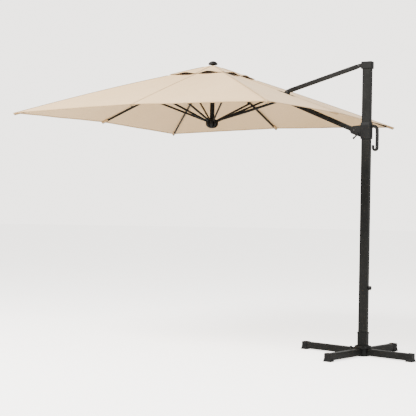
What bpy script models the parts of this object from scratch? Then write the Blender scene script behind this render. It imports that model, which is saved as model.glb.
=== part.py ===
"""Cantilever parasol: square canopy hung from a side mast on a cross base.

Metres, +Z up. The origin lies on the floor under the mast axis. The arm and the canopy reach
towards -X, and the slider's pull handle is on the +X side of the mast.
Run with: blender --background --python part.py
"""

import math

import bmesh
import bpy
from mathutils import Matrix, Vector

GAP = 0.0003  # between pieces that touch

# Base cross
CROSS_TURN = math.radians(-10.0)  # the cross against the arm's plane
CROSS_REACHES = {"right": 0.480, "far": 0.500, "left": 0.610, "near": 0.520}  # axis to a foot's tip
BEAM_WIDTH = 0.052
BEAM_BOTTOM = 0.008
BEAM_TOP = 0.064
BEAM_WALL = 0.018  # heavy: the beams are the ballast too
FOOT_LENGTH = 0.058
FOOT_WALL = 0.003
FOOT_FLARE = 0.005
BLOCK_RADIUS = 0.055
BLOCK_BOTTOM = 0.0
DISC_RADIUS = 0.074
LOWER_DISC_TOP = 0.074
UPPER_DISC_TOP = 0.086
KNOB_DIRECTION = math.radians(225.0)

# Mast
MAST_X = 0.075
MAST_Y = 0.048
MAST_WALL = 0.002
MAST_SPLIT = 0.545
MAST_TOP = 2.395
SOCKET_X = 0.084
SOCKET_Y = 0.058
SOCKET_TOP = 0.198
CAP_X = 0.092
CAP_Y = 0.058
CAP_BOTTOM = 2.372
CAP_TOP = 2.434

# Slider
SLIDER_X = 0.092
SLIDER_Y = 0.062
SLIDER_BOTTOM = 1.793
SLIDER_TOP = 1.930
LINER_WALL = 0.0022
EAR_INNER = 0.0158
EAR_THICK = 0.006
EAR_RADIUS = 0.036

# Pivots of the arm linkage, in the arm's plane (x, z)
STAY_PIVOT = (-0.072, 2.403)
ARM_PIVOT = (-0.105, 1.868)
LINK_PIVOT = (-0.735, 2.222)
HEAD_PIVOT = (-1.447, 2.437)
PIN_RADIUS = 0.004
PIN_HOLE = 0.0043

# Arm and stay
ARM_TALL = 0.040
ARM_WIDE = 0.030
ARM_WALL = 0.002
STAY_TALL = 0.038
STAY_WIDE = 0.022
STAY_WALL = 0.0015

# Canopy
CENTRE_X = -1.500
HALF_SIDE = 1.250
APEX_Z = 2.483
CORNER_Z = 1.990
MIDDLE_Z = 2.016
CORNER_BOW = 0.020
MIDDLE_BOW = 0.008
PANEL_SAG = 0.010
CLOTH_THICK = 0.0008
CAP_THICK = 0.0016  # the vent cap, hemmed all round
VENT_OPENING = 0.12  # shares of the way from apex to edge
CAP_START = 0.020
CAP_EDGE = 0.225
CAP_RISE = 0.011
CAP_LIFT = 0.024

# Ribs, struts and hubs
HUB_RADIUS = 0.056
HINGE_RADIUS = 0.045
HINGE_Z = 2.437
LOWER_HINGE_Z = 1.985
RIB_TALL = 0.022
RIB_WIDE = 0.012
RIB_DROP = 0.0135  # rib centre line below the cloth
SHORT_RIB_TALL = 0.010
SHORT_RIB_START = 0.300  # from the canopy's centre line
STRUT_TALL = 0.018
STRUT_WIDE = 0.012
BAR_WALL = 0.0015
STRUT_DROP = 0.0220  # strut pivot below the rib's centre line
STRUT_CLEAR = 0.004  # a strut's end short of the lower hub's hinge
STRUT_REACH = 0.615  # corner strut pivot from the hub's hinge, along the ground
POST_RADIUS = 0.021
CLOSED_LEAN = math.radians(1.5)  # a folded rib's chord against the vertical
STAY_CLOSED = math.radians(87.0)  # the stay below the horizontal when folded
ARM_STRUT_TALL = 0.026
ARM_STRUT_WIDE = 0.020
ARM_STRUT_DROP = 0.037

CORNER_ANGLES = {"left": 225.0, "near": 315.0, "right": 45.0, "far": 135.0}
MIDDLE_ANGLES = {"front": 270.0, "side": 180.0, "back": 90.0}


def clear_scene():
    """Empty the file of objects and their data."""
    for item in list(bpy.data.objects):
        bpy.data.objects.remove(item, do_unlink=True)
    for group in (bpy.data.meshes, bpy.data.materials, bpy.data.curves):
        for item in list(group):
            group.remove(item)


def material(name, colour, roughness, metallic):
    """A Principled material with a plain colour."""
    made = bpy.data.materials.new(name)
    made.use_nodes = True
    shader = made.node_tree.nodes["Principled BSDF"]
    shader.inputs["Base Color"].default_value = (*colour, 1.0)
    shader.inputs["Roughness"].default_value = roughness
    shader.inputs["Metallic"].default_value = metallic
    made.diffuse_color = (*colour, 1.0)
    return made


def empty(name, location, turn_y=0.0, turn_z=0.0, parent=None):
    """A pivot that pieces hang on."""
    item = bpy.data.objects.new(name, None)
    bpy.context.scene.collection.objects.link(item)
    item.location = location
    item.rotation_euler = (0.0, turn_y, turn_z)
    item.parent = parent
    return item


def piece(name, mesh, look, parent=None, location=(0.0, 0.0, 0.0), turn_z=0.0, smooth=30.0):
    """One named object from a bmesh, with a material of its own."""
    bmesh.ops.recalc_face_normals(mesh, faces=mesh.faces[:])
    data = bpy.data.meshes.new(name)
    mesh.to_mesh(data)
    mesh.free()
    data.shade_smooth()
    data.set_sharp_from_angle(angle=math.radians(smooth))
    data.materials.append(material(name, *look))
    item = bpy.data.objects.new(name, data)
    bpy.context.scene.collection.objects.link(item)
    item.parent = parent
    item.location = location
    item.rotation_euler = (0.0, 0.0, turn_z)
    return item


def cut(item, cutter_mesh, operation="DIFFERENCE"):
    """Apply a Boolean with a cutter built in the piece's own frame."""
    bmesh.ops.recalc_face_normals(cutter_mesh, faces=cutter_mesh.faces[:])
    data = bpy.data.meshes.new(item.name + "_cutter")
    cutter_mesh.to_mesh(data)
    cutter_mesh.free()
    cutter = bpy.data.objects.new(item.name + "_cutter", data)
    bpy.context.scene.collection.objects.link(cutter)
    cutter.parent = item
    cutter.hide_render = True
    cutter.display_type = "WIRE"
    modifier = item.modifiers.new(operation.title(), "BOOLEAN")
    modifier.operation = operation
    modifier.solver = "EXACT"
    modifier.object = cutter
    return item


def block(low, high, bevel=0.0, segments=2, upright_only=False):
    """A box between two corners, with rounded edges."""
    mesh = bmesh.new()
    bmesh.ops.create_cube(mesh, size=1.0)
    size = [b - a for a, b in zip(low, high)]
    middle = [(a + b) / 2 for a, b in zip(low, high)]
    bmesh.ops.scale(mesh, vec=size, verts=mesh.verts[:])
    bmesh.ops.translate(mesh, vec=middle, verts=mesh.verts[:])
    if bevel:
        edges = mesh.edges[:]
        if upright_only:
            edges = [e for e in edges if abs(e.verts[0].co.z - e.verts[1].co.z) > 1e-6]
        bmesh.ops.bevel(
            mesh, geom=edges, offset=bevel, segments=segments, profile=0.5, affect="EDGES"
        )
    return mesh


def rounded_outline(half_x, half_y, radius, steps=3):
    """Corner points of a rounded rectangle, counter-clockwise."""
    points = []
    for quarter in range(4):
        sign_x = (1, -1, -1, 1)[quarter]
        sign_y = (1, 1, -1, -1)[quarter]
        centre = (sign_x * (half_x - radius), sign_y * (half_y - radius))
        for step in range(steps + 1):
            angle = math.pi / 2 * (quarter + step / steps)
            points.append(
                (centre[0] + radius * math.cos(angle), centre[1] + radius * math.sin(angle))
            )
    return points


def add_loop(mesh, points):
    """A ring of vertices."""
    return [mesh.verts.new(p) for p in points]


def skin(mesh, first, second):
    """Faces between two rings of the same length."""
    count = len(first)
    for i in range(count):
        j = (i + 1) % count
        mesh.faces.new((first[i], first[j], second[j], second[i]))


def loft(loops, closed_ends=True):
    """A solid through rings of points."""
    mesh = bmesh.new()
    rings = [add_loop(mesh, loop) for loop in loops]
    for first, second in zip(rings, rings[1:]):
        skin(mesh, first, second)
    if closed_ends:
        mesh.faces.new(rings[0])
        mesh.faces.new(rings[-1])
    return mesh


def ring_solid(loops):
    """A tube wall: the rings run down the outside and back up the inside."""
    mesh = bmesh.new()
    rings = [add_loop(mesh, loop) for loop in loops]
    for first, second in zip(rings, rings[1:] + rings[:1]):
        skin(mesh, first, second)
    return mesh


def box_tube(half_x, half_y, wall, bottom, top, radius):
    """An upright rectangular tube, open at both ends."""
    inner_radius = max(radius - wall, 0.001)
    outer = rounded_outline(half_x, half_y, radius)
    inner = rounded_outline(half_x - wall, half_y - wall, inner_radius)
    levels = ((outer, bottom), (outer, top), (inner, top), (inner, bottom))
    return ring_solid([[(x, y, z) for x, y in outline] for outline, z in levels])


def lying(mesh):
    """Turn an upright solid so that its +Z end points along +X."""
    bmesh.ops.rotate(
        mesh, verts=mesh.verts[:], cent=(0, 0, 0), matrix=Matrix.Rotation(math.pi / 2, 3, "Y")
    )
    return mesh


def turned(profile, sides=24):
    """A solid of revolution about Z from (radius, z) points, both ends on the axis."""
    mesh = bmesh.new()
    rings = []
    for radius, z in profile:
        if radius == 0.0:
            rings.append([mesh.verts.new((0.0, 0.0, z))])
        else:
            rings.append(
                [
                    mesh.verts.new(
                        (
                            radius * math.cos(2 * math.pi * i / sides),
                            radius * math.sin(2 * math.pi * i / sides),
                            z,
                        )
                    )
                    for i in range(sides)
                ]
            )
    for first, second in zip(rings, rings[1:]):
        for i in range(sides):
            j = (i + 1) % sides
            if len(first) == 1:
                mesh.faces.new((first[0], second[j], second[i]))
            elif len(second) == 1:
                mesh.faces.new((first[i], first[j], second[0]))
            else:
                mesh.faces.new((first[i], first[j], second[j], second[i]))
    return mesh


def turned_ring(profile, sides=24):
    """A ring about Z from a closed (radius, z) outline."""
    return ring_solid(
        [
            [
                (
                    radius * math.cos(2 * math.pi * i / sides),
                    radius * math.sin(2 * math.pi * i / sides),
                    z,
                )
                for i in range(sides)
            ]
            for radius, z in profile
        ]
    )


def rod(radius, start, end, axis="Y", sides=16, chamfer=0.0):
    """A cylinder along one axis, from start to end, with optional chamfers."""
    chamfer = chamfer or radius * 0.1
    mesh = turned(
        [
            (0.0, start),
            (radius - chamfer, start),
            (radius, start + chamfer),
            (radius, end - chamfer),
            (radius - chamfer, end),
            (0.0, end),
        ],
        sides,
    )
    if axis == "Y":
        turn = Matrix.Rotation(-math.pi / 2, 3, "X")
    elif axis == "X":
        turn = Matrix.Rotation(math.pi / 2, 3, "Y")
    else:
        turn = Matrix.Identity(3)
    bmesh.ops.rotate(mesh, verts=mesh.verts[:], cent=(0, 0, 0), matrix=turn)
    return mesh


def moved(mesh, offset):
    """Shift a bmesh."""
    bmesh.ops.translate(mesh, vec=offset, verts=mesh.verts[:])
    return mesh


def plate(outline, low_y, high_y):
    """A flat plate in the XZ plane, from low_y to high_y."""
    return loft([[(x, low_y, z) for x, z in outline], [(x, high_y, z) for x, z in outline]])


def sweep_loops(path, half_tall, half_wide, corner, inset):
    """Sections of a bar with rounded-off corners along a path of (x, z) points."""
    loops = []
    for i, here in enumerate(path):
        before = path[max(i - 1, 0)]
        after = path[min(i + 1, len(path) - 1)]
        along = Vector((after[0] - before[0], after[1] - before[1])).normalized()
        up = Vector((-along.y, along.x))
        tall = (half_tall(i) if callable(half_tall) else half_tall) - inset
        wide = (half_wide(i) if callable(half_wide) else half_wide) - inset
        round_off = corner * min(tall, wide)
        section = (
            (-wide, -tall + round_off),
            (-wide + round_off, -tall),
            (wide - round_off, -tall),
            (wide, -tall + round_off),
            (wide, tall - round_off),
            (wide - round_off, tall),
            (-wide + round_off, tall),
            (-wide, tall - round_off),
        )
        loops.append([(here[0] + up.x * v, u, here[1] + up.y * v) for u, v in section])
    return loops


def sweep(path, half_tall, half_wide, corner=0.3):
    """A solid bar along a path."""
    return loft(sweep_loops(path, half_tall, half_wide, corner, 0.0))


def hollow_bar(path, half_tall, half_wide, corner=0.3):
    """A tube along a path, open at both ends."""
    outside = sweep_loops(path, half_tall, half_wide, corner, 0.0)
    inside = sweep_loops(path, half_tall, half_wide, corner, BAR_WALL)
    return ring_solid(outside + inside[::-1])


def arc(centre, radius, start, end, steps):
    """Points along a circular arc, angles in degrees."""
    return [
        (
            centre[0] + radius * math.cos(math.radians(start + (end - start) * i / steps)),
            centre[1] + radius * math.sin(math.radians(start + (end - start) * i / steps)),
        )
        for i in range(steps + 1)
    ]


# ---------------------------------------------------------------- the canopy's surface


def bow_at(share, height):
    """Rise of a bent rib over its straight line."""
    return height * math.sin(math.pi * share)


def edge_point(direction):
    """Where a direction from the centre meets the square's edge: distance and height."""
    cosine = abs(math.cos(direction))
    sine = abs(math.sin(direction))
    reach = HALF_SIDE / max(cosine, sine)
    along = min(cosine, sine) / max(cosine, sine)  # 0 at a middle, 1 at a corner
    return reach, MIDDLE_Z + (CORNER_Z - MIDDLE_Z) * along, along


def cloth_height(direction, share):
    """Height of the cloth's upper face, share 0 at the apex and 1 at the edge."""
    _, edge_z, along = edge_point(direction)
    bow = MIDDLE_BOW + (CORNER_BOW - MIDDLE_BOW) * along
    towards_arm = 0.5 + 0.5 * math.cos(direction)
    bow *= 1.0 - 0.7 * towards_arm
    between = math.sin(4.0 * direction) ** 2  # 0 on a rib, 1 half-way between two
    sag = PANEL_SAG * between * math.sin(math.pi * min(share, 1.0) ** 0.8)
    return APEX_Z + (edge_z - APEX_Z) * share + bow_at(share, bow) - sag


def cloth_point(direction, share, offset=0.0):
    """A point of the cloth about the canopy's centre line."""
    reach, _, _ = edge_point(direction)
    radius = reach * share
    return (
        radius * math.cos(direction),
        radius * math.sin(direction),
        cloth_height(direction, share) + offset,
    )


def cloth_solid(shares, offset, thick=CLOTH_THICK, sectors=48):
    """A closed sheet with a hole at its middle; offset(direction, share) lifts it."""
    outer = []
    inner = []
    for share in shares:
        top = []
        under = []
        for i in range(sectors):
            direction = 2 * math.pi * i / sectors
            lift = offset(direction, share)
            top.append(cloth_point(direction, share, lift))
            under.append(cloth_point(direction, share, lift - thick))
        outer.append(top)
        inner.append(under)
    mesh = ring_solid(outer + inner[::-1])
    bmesh.ops.triangulate(mesh, faces=mesh.faces[:])
    return mesh


# ---------------------------------------------------------------- linkage geometry


def arm_angle():
    """The arm's slope above the horizontal, in radians."""
    return math.atan2(HEAD_PIVOT[1] - ARM_PIVOT[1], ARM_PIVOT[0] - HEAD_PIVOT[0])


def stay_angle():
    """The stay's slope below the horizontal, in radians."""
    return math.atan2(STAY_PIVOT[1] - LINK_PIVOT[1], STAY_PIVOT[0] - LINK_PIVOT[0])


def distance(first, second):
    """Length between two points of the arm's plane."""
    return math.hypot(first[0] - second[0], first[1] - second[1])


def link_angle(stay_slope):
    """Slope of the line from arm pivot to link pivot for a slope of the stay."""
    stay_length = distance(STAY_PIVOT, LINK_PIVOT)
    link_length = distance(ARM_PIVOT, LINK_PIVOT)
    offset = ARM_PIVOT[0] - STAY_PIVOT[0]
    return math.acos((offset + stay_length * math.cos(stay_slope)) / link_length)


STAY_TURN = STAY_CLOSED - stay_angle()
ARM_TURN = link_angle(STAY_CLOSED) - link_angle(stay_angle())
ARM_CLOSED = arm_angle() + ARM_TURN
SLIDER_CLOSED_Z = (
    STAY_PIVOT[1]
    - distance(STAY_PIVOT, LINK_PIVOT) * math.sin(STAY_CLOSED)
    - distance(ARM_PIVOT, LINK_PIVOT) * math.sin(link_angle(STAY_CLOSED))
)
SLIDER_TRAVEL = ARM_PIVOT[1] - SLIDER_CLOSED_Z


def rotated(point, angle):
    """A point (radius, z) turned downwards about the origin by an angle."""
    cosine = math.cos(angle)
    sine = math.sin(angle)
    return (point[0] * cosine + point[1] * sine, -point[0] * sine + point[1] * cosine)


def rib_curve(direction, steps=12):
    """Centre line of a rib from its hinge, as (radius, z) offsets."""
    reach, _, _ = edge_point(direction)
    last = reach - 0.012
    first = 0.26
    points = [(0.0, 0.0), (0.03, 0.0)]
    for i in range(steps):
        radius = first + (last - first) * i / (steps - 1)
        height = cloth_height(direction, radius / reach) - CLOTH_THICK - RIB_DROP
        points.append((radius - HINGE_RADIUS, height - HINGE_Z))
    return points


def on_curve(points, x):
    """Height of a curve at x."""
    for first, second in zip(points, points[1:]):
        if first[0] <= x <= second[0]:
            share = (x - first[0]) / (second[0] - first[0])
            return first[1] + share * (second[1] - first[1])
    return points[-1][1]


def rib_turn(direction):
    """How far a rib folds down from its open slope."""
    tip = rib_curve(direction)[-1]
    return math.pi / 2 - CLOSED_LEAN - math.atan2(-tip[1], tip[0])


def strut_pivot(points, x):
    """The strut's pivot under a rib, about the rib's hinge."""
    return (x, on_curve(points, x) - STRUT_DROP)


def closed_gap(pivot, turn, lower_drop, lower_offset):
    """Strut length left over when folded, for a lower hinge lower_drop under the upper one."""
    open_length = math.hypot(pivot[0] - lower_offset[0], pivot[1] - lower_offset[1])
    folded = rotated(pivot, turn)
    sideways = folded[0] - lower_offset[0]
    return folded[1] - math.sqrt(open_length**2 - sideways**2) + lower_drop


def lower_travel():
    """How far below the upper hinges the lower hub hangs when the corner struts fold."""
    direction = math.radians(CORNER_ANGLES["left"])
    points = rib_curve(direction)
    pivot = strut_pivot(points, STRUT_REACH)
    offset = (0.0, LOWER_HINGE_Z - HINGE_Z)
    return -closed_gap(pivot, rib_turn(direction), 0.0, offset)


LOWER_CLOSED = lower_travel()
LOWER_TRAVEL = LOWER_CLOSED - (HINGE_Z - LOWER_HINGE_Z)


def solve(function, low, high, steps=60):
    """A root of a monotonic function by halving."""
    rising = function(high) > function(low)
    for _ in range(steps):
        middle = (low + high) / 2
        if (function(middle) > 0) == rising:
            high = middle
        else:
            low = middle
    return (low + high) / 2


def strut_layout(direction):
    """Pivot, open and folded slopes of the strut under one rib."""
    points = rib_curve(direction)
    turn = rib_turn(direction)
    offset = (0.0, LOWER_HINGE_Z - HINGE_Z)

    def left_over(x):
        return closed_gap(strut_pivot(points, x), turn, LOWER_CLOSED, offset)

    reach = solve(left_over, 0.45, 1.15)
    pivot = strut_pivot(points, reach)
    length = math.hypot(pivot[0] - offset[0], pivot[1] - offset[1])
    open_slope = math.atan2(pivot[1] - offset[1], pivot[0] - offset[0])
    folded = rotated(pivot, turn)
    folded_slope = math.atan2(folded[1] + LOWER_CLOSED, folded[0] - offset[0])
    return pivot, length, open_slope, folded_slope


def arm_strut_layout():
    """The strut under the arm: its pivot along the arm from the head pivot, and its slopes.

    Positions are (radius from the canopy's centre line, z from the hinges' level).
    """
    head_radius = HEAD_PIVOT[0] - CENTRE_X
    lower = (HINGE_RADIUS, LOWER_HINGE_Z - HINGE_Z)

    def pivot_at(along, slope):
        return (
            head_radius + along * math.cos(slope) - ARM_STRUT_DROP * math.sin(slope),
            -along * math.sin(slope) - ARM_STRUT_DROP * math.cos(slope),
        )

    def left_over(along):
        opened = pivot_at(along, arm_angle())
        folded = pivot_at(along, ARM_CLOSED)
        length = math.hypot(opened[0] - lower[0], opened[1] - lower[1])
        return length - math.hypot(folded[0] - lower[0], folded[1] + LOWER_CLOSED)

    along = solve(left_over, 0.30, 1.10)
    opened = pivot_at(along, arm_angle())
    folded = pivot_at(along, ARM_CLOSED)
    length = math.hypot(opened[0] - lower[0], opened[1] - lower[1])
    open_slope = math.atan2(opened[1] - lower[1], opened[0] - lower[0])
    folded_slope = math.atan2(folded[1] + LOWER_CLOSED, folded[0] - lower[0])
    return along, opened, length, open_slope, folded_slope


# ---------------------------------------------------------------- looks

CHARCOAL = ((0.030, 0.031, 0.028), 0.42, 0.55)
PLASTIC = ((0.018, 0.018, 0.017), 0.48, 0.0)
STEEL = ((0.42, 0.42, 0.41), 0.35, 1.0)
CLOTH = ((0.78, 0.66, 0.50), 0.9, 0.0)
CLOTH_CAP = ((0.80, 0.68, 0.52), 0.9, 0.0)


# ---------------------------------------------------------------- base


def cross_beam(name, start, end, turn, parent):
    """One hollow beam of the cross between two distances from the mast's axis."""
    half_z = (BEAM_TOP - BEAM_BOTTOM) / 2
    mesh = lying(box_tube(half_z, BEAM_WIDTH / 2, BEAM_WALL, start, end, 0.006))
    moved(mesh, (0.0, 0.0, (BEAM_TOP + BEAM_BOTTOM) / 2))
    return piece(name, mesh, CHARCOAL, parent, turn_z=turn)


def foot_cap(name, reach, turn, parent):
    """A cap that closes a beam's end, flared where it meets the floor."""
    half = BEAM_WIDTH / 2 + FOOT_WALL
    top = BEAM_TOP + FOOT_WALL
    start = reach - FOOT_LENGTH
    mesh = bmesh.new()
    rings = []
    for z, flare in ((0.0, FOOT_FLARE), (0.010, FOOT_FLARE * 0.6), (0.024, 0.0), (top, 0.0)):
        ring = [
            (start, -half - flare, z),
            (reach - FOOT_FLARE + flare, -half - flare, z),
            (reach - FOOT_FLARE + flare, half + flare, z),
            (start, half + flare, z),
        ]
        rings.append(add_loop(mesh, ring))
    for first, second in zip(rings, rings[1:]):
        skin(mesh, first, second)
    mesh.faces.new(rings[0])
    mesh.faces.new(rings[-1])
    upper = [e for e in mesh.edges if all(v.co.z > 0.02 for v in e.verts)]
    bmesh.ops.bevel(mesh, geom=upper, offset=0.004, segments=2, profile=0.5, affect="EDGES")
    item = piece(name, mesh, PLASTIC, parent, turn_z=turn)
    hollow = block(
        (start - 0.01, -BEAM_WIDTH / 2 - GAP, BEAM_BOTTOM - GAP),
        (reach - FOOT_FLARE - 0.006, BEAM_WIDTH / 2 + GAP, BEAM_TOP + GAP),
    )
    return cut(item, hollow)


def build_base():
    """Cross beams, caps, centre block, the lower disc and its bolts."""
    root = empty("base_frame", (0.0, 0.0, 0.0), turn_z=CROSS_TURN)
    ends = {side: reach - FOOT_FLARE - 0.006 - GAP for side, reach in CROSS_REACHES.items()}
    middle = BEAM_WIDTH / 2 + GAP
    cross_beam("cross_beam_long", -ends["left"], ends["right"], 0.0, root)
    cross_beam("cross_beam_near", middle, ends["near"], -math.pi / 2, root)
    cross_beam("cross_beam_far", middle, ends["far"], math.pi / 2, root)
    for i, (side, reach) in enumerate(CROSS_REACHES.items()):
        foot_cap(f"foot_cap_{side}", reach, i * math.pi / 2, root)

    centre = piece(
        "centre_block",
        turned(
            [
                (0.0, BLOCK_BOTTOM),
                (BLOCK_RADIUS - 0.004, BLOCK_BOTTOM),
                (BLOCK_RADIUS, BLOCK_BOTTOM + 0.004),
                (BLOCK_RADIUS, BEAM_TOP - GAP),
                (0.0, BEAM_TOP - GAP),
            ],
            32,
        ),
        PLASTIC,
        root,
    )
    floor = BEAM_BOTTOM - GAP
    slot = BEAM_WIDTH / 2 + GAP
    channel = block((-0.2, -slot, floor), (0.2, slot, BEAM_TOP + 0.01))
    cut(centre, channel)
    cut(centre, block((-slot, -0.2, floor), (slot, 0.2, BEAM_TOP + 0.011)))

    low = BEAM_TOP + GAP
    bolt_reach = 0.046
    disc = piece(
        "swivel_disc_lower",
        turned_ring(
            [
                (DISC_RADIUS - 0.002, low),
                (DISC_RADIUS, low + 0.002),
                (DISC_RADIUS, LOWER_DISC_TOP - 0.002),
                (DISC_RADIUS - 0.002, LOWER_DISC_TOP),
                (0.0085, LOWER_DISC_TOP),
                (0.0085, low),
            ],
            40,
        ),
        CHARCOAL,
        root,
    )
    lug_turn = KNOB_DIRECTION - CROSS_TURN
    lug = block((0.05, -0.012, low + 0.0005), (0.088, 0.012, LOWER_DISC_TOP - 0.0005), 0.003)
    bmesh.ops.rotate(
        lug, verts=lug.verts[:], cent=(0, 0, 0), matrix=Matrix.Rotation(lug_turn, 3, "Z")
    )
    cut(disc, lug, "UNION")
    for i in range(4):
        direction = math.pi / 4 + i * math.pi / 2
        place = (bolt_reach * math.cos(direction), bolt_reach * math.sin(direction), 0.0)
        for item, start in ((disc, low - 0.01), (centre, 0.026)):
            cut(item, moved(rod(0.0034, start, LOWER_DISC_TOP + 0.01, "Z", 12), place))
        head_top = LOWER_DISC_TOP - 0.0006
        cut(disc, moved(rod(0.0066, LOWER_DISC_TOP - 0.005, head_top + 0.01, "Z", 16), place))
        bolt = turned(
            [
                (0.0, 0.028),
                (0.0030, 0.028),
                (0.0030, LOWER_DISC_TOP - 0.0047),
                (0.0062, LOWER_DISC_TOP - 0.0047),
                (0.0062, head_top - 0.001),
                (0.0052, head_top),
                (0.0, head_top),
            ],
            12,
        )
        piece(f"disc_bolt_{i + 1}", bolt, STEEL, root, place)

    knob_at = empty(
        "lock_knob_pivot",
        (
            0.0885 * math.cos(KNOB_DIRECTION),
            0.0885 * math.sin(KNOB_DIRECTION),
            (low + LOWER_DISC_TOP) / 2 + 0.004,
        ),
        turn_z=KNOB_DIRECTION,
    )
    knob = turned(
        [
            (0.0, 0.0),
            (0.005, 0.0),
            (0.005, 0.006),
            (0.0125, 0.008),
            (0.0135, 0.011),
            (0.0135, 0.021),
            (0.011, 0.025),
            (0.0, 0.0265),
        ],
        20,
    )
    piece("lock_knob", lying(knob), PLASTIC, knob_at)
    return root


# ---------------------------------------------------------------- mast


def build_mast():
    """The swivel disc, socket, two mast profiles, inner sleeve, cap and its pin."""
    root = empty("mast_axis", (0.0, 0.0, 0.0))
    low = LOWER_DISC_TOP + GAP
    half_x = MAST_X / 2
    half_y = MAST_Y / 2
    disc = turned(
        [
            (0.0, low - 0.008),
            (0.0078, low - 0.008),
            (0.0078, low),
            (DISC_RADIUS - 0.006, low),
            (DISC_RADIUS - 0.004, low + 0.002),
            (DISC_RADIUS - 0.006, UPPER_DISC_TOP - 0.003),
            (DISC_RADIUS - 0.010, UPPER_DISC_TOP),
            (0.0, UPPER_DISC_TOP),
        ],
        40,
    )
    piece("swivel_disc_upper", disc, CHARCOAL, root)

    bottom = UPPER_DISC_TOP + GAP
    outer = rounded_outline(SOCKET_X / 2, SOCKET_Y / 2, 0.008)
    lip = rounded_outline(SOCKET_X / 2 + 0.003, SOCKET_Y / 2 + 0.003, 0.010)
    inner = rounded_outline(half_x + 0.0004, half_y + 0.0004, 0.006)
    levels = [
        (outer, bottom),
        (outer, SOCKET_TOP - 0.014),
        (lip, SOCKET_TOP - 0.012),
        (lip, SOCKET_TOP - 0.002),
        (outer, SOCKET_TOP),
        (inner, SOCKET_TOP),
        (inner, bottom),
    ]
    socket = ring_solid([[(x, y, z) for x, y in outline] for outline, z in levels])
    piece("mast_socket", socket, CHARCOAL, root)

    lower = box_tube(half_x, half_y, MAST_WALL, bottom + 0.0005, MAST_SPLIT - GAP / 2, 0.006)
    piece("mast_lower", lower, CHARCOAL, root)
    upper = box_tube(half_x, half_y, MAST_WALL, MAST_SPLIT + GAP / 2, MAST_TOP, 0.006)
    upper_item = piece("mast_upper", upper, CHARCOAL, root)
    sleeve_wall = 0.002
    sleeve = box_tube(
        half_x - MAST_WALL - GAP,
        half_y - MAST_WALL - GAP,
        sleeve_wall,
        MAST_SPLIT - 0.10,
        MAST_SPLIT + 0.10,
        0.004,
    )
    sleeve_item = piece("joint_sleeve", sleeve, STEEL, root)

    knob_z = MAST_SPLIT + 0.018
    for item, radius in ((upper_item, 0.0046), (sleeve_item, 0.0043)):
        cut(item, moved(rod(radius, 0.02, 0.05, "X", 16), (0.0, 0.0, knob_z)))
    knob_at = empty("mast_knob_pivot", (half_x, 0.0, knob_z), parent=root)
    stem = 0.010
    knob = turned(
        [
            (0.0, -0.007),
            (0.0038, -0.007),
            (0.0038, 0.001),
            (0.007, 0.001),
            (0.007, stem * 0.5),
            (0.016, stem * 0.8),
            (0.018, stem * 1.2),
            (0.018, stem * 2.2),
            (0.015, stem * 2.6),
            (0.0, stem * 2.8),
        ],
        24,
    )
    piece("mast_knob", lying(knob), PLASTIC, knob_at)

    cap = piece(
        "mast_cap",
        block(
            (-CAP_X / 2 - 0.002, -CAP_Y / 2, CAP_BOTTOM),
            (CAP_X / 2, CAP_Y / 2, CAP_TOP),
            0.005,
            2,
        ),
        CHARCOAL,
        root,
    )
    hollow = block(
        (-half_x - GAP, -half_y - GAP, CAP_BOTTOM - 0.01),
        (half_x + GAP, half_y + GAP, MAST_TOP + GAP),
    )
    cut(cap, hollow)
    ear_outline = [
        (-CAP_X / 2 + 0.004, STAY_PIVOT[1] - 0.020),
        (-CAP_X / 2 + 0.004, STAY_PIVOT[1] + 0.020),
        *arc(STAY_PIVOT, 0.015, 75.0, 285.0, 8),
    ]
    stay_half = STAY_WIDE / 2
    for side in (-1, 1):
        low_y, high_y = sorted((side * (stay_half + 0.0008), side * (stay_half + 0.0058)))
        cut(cap, plate(ear_outline, low_y, high_y), "UNION")
    pin_hole = moved(rod(PIN_HOLE, -0.03, 0.03), (STAY_PIVOT[0], 0.0, STAY_PIVOT[1]))
    cut(cap, pin_hole)
    pin_head = stay_half + 0.0062
    pin = turned(
        [
            (0.0, -pin_head - 0.0035),
            (0.006, -pin_head - 0.0035),
            (0.007, -pin_head - 0.0025),
            (0.007, -pin_head),
            (PIN_RADIUS, -pin_head),
            (PIN_RADIUS, pin_head),
            (0.007, pin_head),
            (0.007, pin_head + 0.0025),
            (0.006, pin_head + 0.0035),
            (0.0, pin_head + 0.0035),
        ],
        16,
    )
    bmesh.ops.rotate(
        pin, verts=pin.verts[:], cent=(0, 0, 0), matrix=Matrix.Rotation(-math.pi / 2, 3, "X")
    )
    piece("stay_pin", pin, STEEL, root, (STAY_PIVOT[0], 0.0, STAY_PIVOT[1]))
    return root


# ---------------------------------------------------------------- slider


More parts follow.
